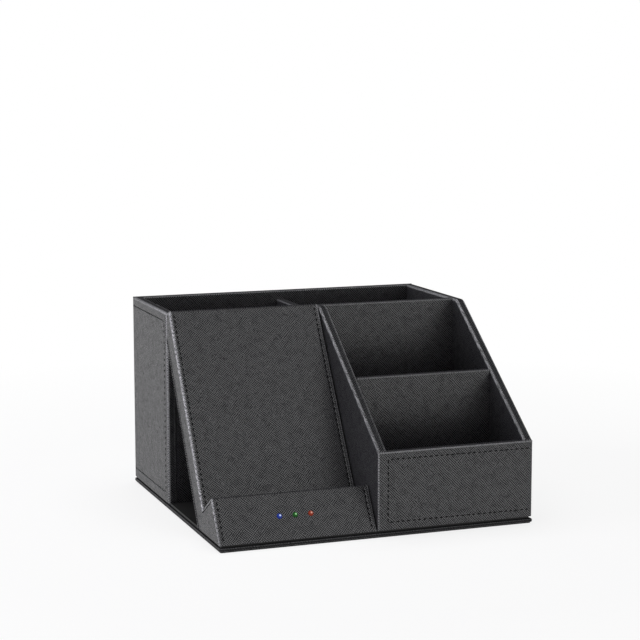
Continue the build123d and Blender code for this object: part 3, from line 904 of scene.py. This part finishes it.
# %% Dust group
dust, given, result = new_group("dust", {"Speck size": 0.0009, "Amount": 0.5}, "Dust")
upward = put(dust, "SeparateXYZ", {0: put(dust, "NewGeometry").outputs["Normal"]}).outputs[2]
flecks = noise(dust, in_units(dust, given["Place"], given["Speck size"]), 1.0, 3.0)
lying = times(dust, remap(dust, upward, 0.2, 0.9), remap(dust, flecks, 0.6, 0.78))
feed(dust, result, {"Dust": times(dust, lying, given["Amount"])})
print("dust:", len(dust.nodes), "nodes")


def dusty(tree, place, size, amount):
    return place_group(tree, dust, {"Place": place, "Speck size": size, "Amount": amount})["Dust"]


# %% [markdown]
# ## Black leather
# The finish that the eye meets. Its colour is near black in the pits and hardly lighter on the ridges; the
# darker pits are painted shade. What looks grey is gloss. The ridges are polished, so the weight of a coat
# follows the embossing, with soft patches a few millimetres wide, and a face that mirrors the bright studio
# turns grey while one that mirrors the dark ceiling stays black. With a plain grey colour all faces would be
# equally grey. Folds are painted lighter, partly as rubbed wear and partly as a painted highlight, in beads
# where the ridges cross them, and dust lies on the tops. The same recipe serves the pieces that have a hide
# map, one CAD sheet that is placed by its position, and the base, whose copy is painted darker as shade and
# less polished.

# %% Finish helpers
def new_finish(name):
    """An empty material. Returns it with its tree and its surface shader."""
    material = bpy.data.materials.new(name)
    material.use_nodes = True
    tree = material.node_tree
    tree.nodes.clear()
    surface = put(tree, "BsdfPrincipled")
    put(tree, "OutputMaterial", {"Surface": surface.outputs[0]})
    return material, tree, surface


def blend(tree, share, *colours):
    """A colour between two, each a socket or three numbers."""
    first, second = (
        colour if isinstance(colour, bpy.types.NodeSocket) else (*colour, 1) for colour in colours
    )
    return put(tree, "Mix", {0: share, 6: first, 7: second}, data_type="RGBA").outputs[2]


def bump(tree, height, distance, **feeds):
    """A normal that the height tilts, as a socket."""
    return put(tree, "Bump", {"Strength": 1.0, "Distance": distance, "Height": height, **feeds}).outputs[0]


# %% Leather
hatch_pitch = 0.95 * millimetre
hatch_depth = 0.10 * millimetre
cloud_size, patch_size = 14 * millimetre, 4.2 * millimetre
# The pits' near-black is painted shade in the embossing; the ridges carry the leather's own colour.
pit_shade_colour, ridge_colour = (0.002, 0.002, 0.003), (0.029, 0.0287, 0.032)
# The pale fold colour is rubbed wear and a painted highlight together.
fold_wear_highlight_colour, dust_colour = (0.430, 0.430, 0.445), (0.22, 0.21, 0.20)
pit_roughness = 0.78
ridge_rougher, cloud_rougher, dust_rougher = -0.10, 0.08, 0.3
patch_least, patch_span = 0.76, 0.64


def leather(name, place_of, shade=1.0, ridge_polish=1.0, fold_polish=1.2):
    """Black leather. place_of(tree) gives the place on the hide in metres, and shade paints its colours
    darker, as painted shade.
    """
    material, tree, surface = new_finish(name)
    place = place_of(tree)
    embossing = {"Place": place, "Pitch": hatch_pitch, "Wander": 0.9, "Fading": 0.9}
    level = place_group(tree, hatch, embossing)["Height"]
    rubbing_and_highlight = {"Place": place, "Speck size": 0.6 * millimetre, "Evenness": 0.3}
    wear_and_highlight = place_group(tree, fold_wear_and_highlight, rubbing_and_highlight)["Wear and highlight"]
    cloud = mottled(tree, place, cloud_size, 0.9)
    patches = mottled(tree, place, patch_size, 1.7)["Tone"]
    lint = dusty(tree, place, 0.8 * millimetre, 0.3)

    crest_colour = [part * shade for part in ridge_colour]
    rubbed_highlight_colour = [part * shade for part in fold_wear_highlight_colour]
    # Darker in the pits of the embossing: painted shade that follows the relief.
    colour = blend(tree, level, pit_shade_colour, crest_colour)
    toned = blend(tree, times(tree, cloud["Tone"], 0.3), colour, pit_shade_colour)
    # Folds painted lighter, in beads: partly rubbed wear, partly a painted highlight.
    rubbed_and_highlight = times(tree, wear_and_highlight, weigh(tree, level, 1.0, 0.1))
    worn_and_highlighted = blend(tree, rubbed_and_highlight, toned, rubbed_highlight_colour)

    gloss = weigh(tree, cloud["Tone"], cloud_rougher, weigh(tree, level, ridge_rougher, pit_roughness))
    polish = times(tree, remap(tree, level, 0.2, 0.9), weigh(tree, patches, patch_span, patch_least))
    gleam = weigh(tree, rubbed_and_highlight, fold_polish, times(tree, polish, ridge_polish))
    slow = bump(tree, cloud["Height"], 0.5 * millimetre, Strength=0.35)
    feed(tree, surface, {
        "Base Color": blend(tree, lint, worn_and_highlighted, dust_colour),
        "Roughness": weigh(tree, lint, dust_rougher, gloss),
        "Normal": bump(tree, level, hatch_depth, Normal=slow),
        "Specular IOR Level": 0.16,
        "Coat Weight": clamp(tree, gleam),
        "Coat Roughness": 0.36,
        "Coat IOR": 1.95,
    })
    return material


# %% Leather on the hides
def from_hide(tree):
    return put(tree, "UVMap", uv_map="hide").outputs[0]


def from_panel_position(tree):
    """A place on the stand's leaning back: level across it, and up along it."""
    position = put(tree, "TexCoord").outputs["Object"]
    climb = vectors(tree, "DOT_PRODUCT", position, panel_up, "Value")
    across = put(tree, "SeparateXYZ", {0: position}).outputs[0]
    return put(tree, "CombineXYZ", {0: across, 1: climb}).outputs[0]


black_leather = leather("black_leather_hide", from_hide)
tunnel_leather = leather("black_leather_tunnel", from_panel_position)
# The base's leather is the same, painted five times darker as shade, and less polished.
base_leather = leather("black_leather_base_shaded", from_hide, shade=0.2, ridge_polish=0.15, fold_polish=0.5)

for piece in hides:
    piece.data.materials.append(base_leather if piece.name == "base_hide" else black_leather)
print("leather on", len(hides), "hides")

# %% [markdown]
# ## Thread
# Black bonded thread of two plies. The twist is a slanted wave over the thread's own map, as height and as a
# small change of tone. It is duller than the leather, so the stitches read as dark dashes on it.

# %% Thread finish
ply_pitch = 0.5 * millimetre
ply_depth = 0.05 * millimetre
thread_black, tree, surface = new_finish("black_thread")
place = from_hide(tree)
parts = put(tree, "SeparateXYZ", {0: place}).outputs
twist = times(tree, arithmetic(tree, "ADD", parts[0], parts[1]), 2 * math.pi / ply_pitch)
ply = weigh(tree, arithmetic(tree, "SINE", twist), 0.5, 0.5)
fuzz = mottled(tree, place, 0.15 * millimetre, 1.0)["Tone"]
feed(tree, surface, {
    "Base Color": blend(tree, ply, (0.002, 0.002, 0.002), (0.010, 0.010, 0.011)),
    "Roughness": weigh(tree, fuzz, 0.15, 0.65),
    "Normal": bump(tree, ply, ply_depth),
    "Specular IOR Level": 0.04,
})
for piece in threads:
    piece.data.materials.append(thread_black)
print("thread on", len(threads), "hides")

# %% [markdown]
# ## Finishes of the other parts
# The rest of the object is board, felt, lining, mouldings, metal and electronics. Each gets a plain material
# with two tones, a grain of its own size and a roughness that follows the grain, so one recipe with a row of
# values per material serves them all.

# %% Other finishes
recipes = {
    # name: dark tone, light tone, roughness low and high, metallic, grain size and relief in mm, dust
    "grey_board": ((0.26, 0.24, 0.21), (0.4, 0.37, 0.33), (0.8, 0.95), 0, 0.5, 0.06, 0),
    "black_felt": ((0.006, 0.006, 0.006), (0.03, 0.03, 0.032), (0.9, 1), 0, 0.35, 0.15, 0.3),
    "black_lining": ((0.006, 0.006, 0.006), (0.022, 0.022, 0.023), (0.8, 0.95), 0, 0.45, 0.1, 0.8),
    # Near black: the board in the recess under the walls stands in for that gap's shade, as painted shade.
    "black_board": ((0.004, 0.004, 0.004), (0.012, 0.012, 0.012), (0.45, 0.65), 0, 0.8, 0.03, 0.3),
    "module_plastic": ((0.04, 0.04, 0.042), (0.06, 0.06, 0.063), (0.45, 0.6), 0, 0.25, 0.02, 0.2),
    "ferrite": ((0.035, 0.035, 0.038), (0.07, 0.068, 0.07), (0.5, 0.75), 0, 0.4, 0.02, 0),
    "copper_wire": ((0.55, 0.22, 0.09), (0.8, 0.4, 0.19), (0.22, 0.4), 1, 0.6, 0.02, 0),
    "circuit_board": ((0.008, 0.1, 0.035), (0.02, 0.2, 0.08), (0.25, 0.4), 0, 1.2, 0.03, 0),
    "chip_resin": ((0.01, 0.01, 0.01), (0.03, 0.03, 0.03), (0.5, 0.7), 0, 0.2, 0.02, 0),
    "capacitor_ceramic": ((0.32, 0.21, 0.13), (0.5, 0.38, 0.27), (0.35, 0.55), 0, 0.4, 0.01, 0),
    "steel": ((0.45, 0.45, 0.47), (0.65, 0.65, 0.67), (0.2, 0.38), 1, 0.3, 0.01, 0),
    "light_chip": ((0.7, 0.66, 0.42), (0.92, 0.9, 0.7), (0.15, 0.3), 0, 0.3, 0.01, 0),
    "white_plastic": ((0.7, 0.7, 0.67), (0.84, 0.84, 0.81), (0.4, 0.55), 0, 0.3, 0.01, 0),
    "cable_rubber": ((0.015, 0.015, 0.015), (0.04, 0.04, 0.04), (0.55, 0.75), 0, 0.3, 0.02, 0),
}
cloud_ratio = 12
finishes = {}
for name, (dark, light, roughness, metal, grain_size, relief_height, lint_amount) in recipes.items():
    material, tree, surface = new_finish(name + "_finish")
    place = put(tree, "TexCoord").outputs["Object"]
    grain = mottled(tree, place, grain_size * millimetre, 1.2)
    cloud = mottled(tree, place, cloud_ratio * grain_size * millimetre, 0.8)
    lint = dusty(tree, place, 0.7 * millimetre, lint_amount)
    tone = weigh(tree, cloud["Tone"], 0.4, times(tree, grain["Tone"], 0.6))
    feed(tree, surface, {
        "Base Color": blend(tree, lint, blend(tree, tone, dark, light), dust_colour),
        "Roughness": weigh(tree, tone, roughness[1] - roughness[0], roughness[0]),
        "Metallic": metal,
        "Normal": bump(tree, grain["Height"], relief_height * millimetre),
    })
    finishes[name] = material
for name, sheen in (("black_felt", 0.25), ("black_lining", 0.12)):
    finishes[name].node_tree.nodes["Principled BSDF"].inputs["Sheen Weight"].default_value = sheen
finishes["black_leather"] = tunnel_leather
print("finishes:", len(finishes))

# %% [markdown]
# ## Lit lenses
# A lens is clear coloured resin with a lit chip behind it. Its glow has one small near-white spot a little
# off its middle, partly the lit chip and partly a painted highlight, and it is deep in colour towards its
# rim. The distance from the lens's own axis drives both.

# %% Lens glow group
defaults = {"Centre": (0, 0, 0), "Axis": (0, 0, 1), "Rim": 0.0015}
glow, given, result = new_group("lens_glow", defaults, "Core", "Edge")
away = vectors(glow, "SUBTRACT", given["Place"], given["Centre"])
radial = vectors(glow, "SUBTRACT", away, vectors(glow, "PROJECT", away, given["Axis"]))
share = arithmetic(glow, "DIVIDE", vectors(glow, "LENGTH", radial, output="Value"), given["Rim"])
feed(glow, result, {
    "Core": remap(glow, share, 0.25, 0.75, 1.0, 0.0),
    "Edge": remap(glow, share, 0.6, 1.0),
})
print("lens_glow:", len(glow.nodes), "nodes")

# %% Lens finishes
lens_colours = {
    # name: body, lit core with its painted highlight, rim
    "blue_lens": ((0.006, 0.020, 0.17), (0.68, 0.80, 1.0), (0.004, 0.010, 0.07)),
    "green_lens": ((0.002, 0.048, 0.003), (0.35, 0.70, 0.33), (0.001, 0.020, 0.002)),
    "red_lens": ((0.15, 0.016, 0.005), (0.70, 0.38, 0.30), (0.06, 0.006, 0.002)),
}
# Where the painted highlight sits on each lens, off its middle, and how wide it is.
glint_shift = (east * 0.35 + panel_up * 0.30) * millimetre
glint_rim = 0.95 * millimetre
for node, (body_colour, core_glint_colour, rim_colour) in lens_colours.items():
    material, tree, surface = new_finish(node + "_finish")
    place = put(tree, "TexCoord").outputs["Object"]
    lit, chip_and_glint = (
        place_group(tree, glow, {"Place": place, "Centre": centre, "Axis": panel_forward, "Rim": rim})
        for centre, rim in ((lens_centres[node], lens_rim), (lens_centres[node] + glint_shift, glint_rim))
    )
    # Near-white spot off the middle: partly the lit chip, partly a painted highlight.
    glow_and_glint = blend(tree, chip_and_glint["Core"], body_colour, core_glint_colour)
    haze = mottled(tree, place, 0.5 * millimetre, 0.5)["Tone"]
    feed(tree, surface, {
        "Base Color": blend(tree, lit["Edge"], body_colour, rim_colour),
        "Emission Color": blend(tree, lit["Edge"], glow_and_glint, rim_colour),
        "Emission Strength": 0.9,
        "Specular IOR Level": 0.2,
        "Roughness": weigh(tree, haze, 0.1, 0.08),
    })
    lenses[node].data.materials.append(material)
print("lit lenses:", len(lenses))

# %% [markdown]
# ## Dressing the CAD parts
# The parts that CAD already shapes well stay as they are. Each carries the name of its material slot, and
# gets the finish of that name.

# %% Dress the frame
shown_parts = [part for part in frame["nodes"].values() if not part.hide_render]
for part in shown_parts:
    part.data.materials[0] = finishes[part.data.materials[0].name]
print("dressed CAD nodes:", len(shown_parts))

# %% [markdown]
# # Studio
# The object stands on a plain white floor in front of plain white. For the camera the floor is mostly a
# white of its own, so it needs no extra light, and the rest of it is a matte white that takes the object's
# shadow. Reflections see the same white, apart from a dark stretch of ceiling behind the object: on the real
# one the sloping tops are nearly black and the fronts are grey, although the leather is the same, so that is
# what the tops mirror.

# %% Floor
floor_size = 30.0
shadow_share = 0.20
shadow_near, shadow_far = 0.22, 0.50
floor_form = bmesh.new()
bmesh.ops.create_grid(floor_form, x_segments=12, y_segments=12, size=floor_size / 2)
floor = add_object("studio_floor", as_mesh("studio_floor", floor_form))
floor.location.z = -0.05 * millimetre


def seen_directly(tree):
    """1 for what the camera, a reflection or a clear part sees, 0 for the light that a surface gathers."""
    paths = put(tree, "LightPath").outputs
    first = arithmetic(tree, "MAXIMUM", paths["Is Camera Ray"], paths["Is Glossy Ray"])
    return arithmetic(tree, "MAXIMUM", first, paths["Is Transmission Ray"])


def mix_shaders(tree, share, first, second):
    return put(tree, "MixShader", {0: share, 1: first.outputs[0], 2: second.outputs[0]}).outputs[0]


floor_white, tree, surface = new_finish("floor_white")
place = put(tree, "TexCoord").outputs["Object"]
paper = mottled(tree, place, 20 * millimetre, 0.1)["Tone"]
feed(tree, surface, {
    "Base Color": blend(tree, paper, (0.93, 0.93, 0.93), (0.95, 0.95, 0.95)),
    "Roughness": 0.9,
    "Specular IOR Level": 0.1,
})
away = vectors(tree, "LENGTH", place, output="Value")
matte = remap(tree, away, shadow_near, shadow_far, shadow_share, 0.0)
own_share = times(tree, seen_directly(tree), one_minus(tree, matte))
own_white = put(tree, "Emission", {"Color": (1, 1, 1, 1), "Strength": 1.0})
mixed = mix_shaders(tree, own_share, surface, own_white)
feed(tree, tree.nodes["Material Output"], {"Surface": mixed})
floor.data.materials.append(floor_white)
print("floor:", floor_size, "m wide, at", round(floor.location.z / millimetre, 2), "mm")

# %% Background
ceiling_grey = 0.03
ceiling_way = Vector((0.43, 0.60, 0.68)).normalized()
ceiling_rim, ceiling_core = 0.50, 0.78
world = bpy.data.worlds.new("studio")
bpy.context.scene.world = world
world.use_nodes = True
tree = world.node_tree
tree.nodes.clear()
ambient = put(tree, "Background", {"Color": (0.97, 0.98, 1.0, 1), "Strength": 0.22})
way_out = put(tree, "TexCoord").outputs["Generated"]
overhead = vectors(tree, "DOT_PRODUCT", way_out, ceiling_way, "Value")
mirrored = remap(tree, overhead, ceiling_rim, ceiling_core, 1.0, ceiling_grey)
shown_share = arithmetic(tree, "MAXIMUM", put(tree, "LightPath").outputs["Is Camera Ray"], mirrored)
backdrop = put(tree, "Background", {"Color": (1, 1, 1, 1), "Strength": shown_share})
put(tree, "OutputWorld", {"Surface": mix_shaders(tree, seen_directly(tree), ambient, backdrop)})
print("background:", world.name, "with", len(tree.nodes), "nodes")

# %% [markdown]
# ## Lamps
# A wide soft box overhead lights everything at a plain level, and the floor sends its light up to the front
# faces. It is kept out of reflections, where it would wash out the tops. A low one at the left, a little
# cool as the left faces are on the real object, lights those faces and draws the folds.

# %% Lamps
lamp_aim = Vector((0, 0, 0.06))


def soft_box(name, place, width, height, power):
    """A rectangular area lamp that looks at the object's middle."""
    data = bpy.data.lights.new(name, "AREA")
    data.shape, data.size, data.size_y, data.energy = "RECTANGLE", width, height, power
    lamp = add_object(name, data)
    lamp.location = place
    lamp.visible_camera = False
    lamp.rotation_euler = (lamp_aim - Vector(place)).to_track_quat("-Z", "Y").to_euler()
    print(name, "gives", power, "watts")
    return lamp


soft_box("left_soft_box", (-1.15, 0.10, 0.36), 0.5, 0.6, 5.8).data.color = (0.97, 0.95, 1.06)
soft_box("top_soft_box", (0.0, 0.2, 1.3), 1.2, 1.2, 12.0).visible_glossy = False

# %% [markdown]
# ## Camera
# A long lens, slightly above the object and to its left. Its place was found by fitting the object's
# measured corners, so it is told as an azimuth, an elevation and a distance from a point near the object's
# middle.

# %% Camera
camera_azimuth, camera_elevation = math.radians(-20.37), math.radians(8.36)
camera_distance = 1.0043
camera_aim = Vector((-0.00266, 0, 0.10235))
focal_pixels, picture_pixels, sensor = 1825.9, 640, 36.0
camera_data = bpy.data.cameras.new("camera")
camera_data.sensor_width = sensor
camera_data.lens = focal_pixels / picture_pixels * sensor
camera_data.clip_start, camera_data.clip_end = 0.05, 20
camera = add_object("camera", camera_data)
back = Vector((
    math.sin(camera_azimuth) * math.cos(camera_elevation),
    -math.cos(camera_azimuth) * math.cos(camera_elevation),
    math.sin(camera_elevation),
))
camera.location = camera_aim + back * camera_distance
camera.rotation_mode = "QUATERNION"
camera.rotation_quaternion = (-back).to_track_quat("-Z", "Y")
bpy.context.scene.camera = camera
bpy.context.scene.view_settings.view_transform = "Standard"
print("camera at", [round(x, 4) for x in camera.location], "lens", round(camera_data.lens, 1))

# %% Finish
bpy.context.view_layer.update()
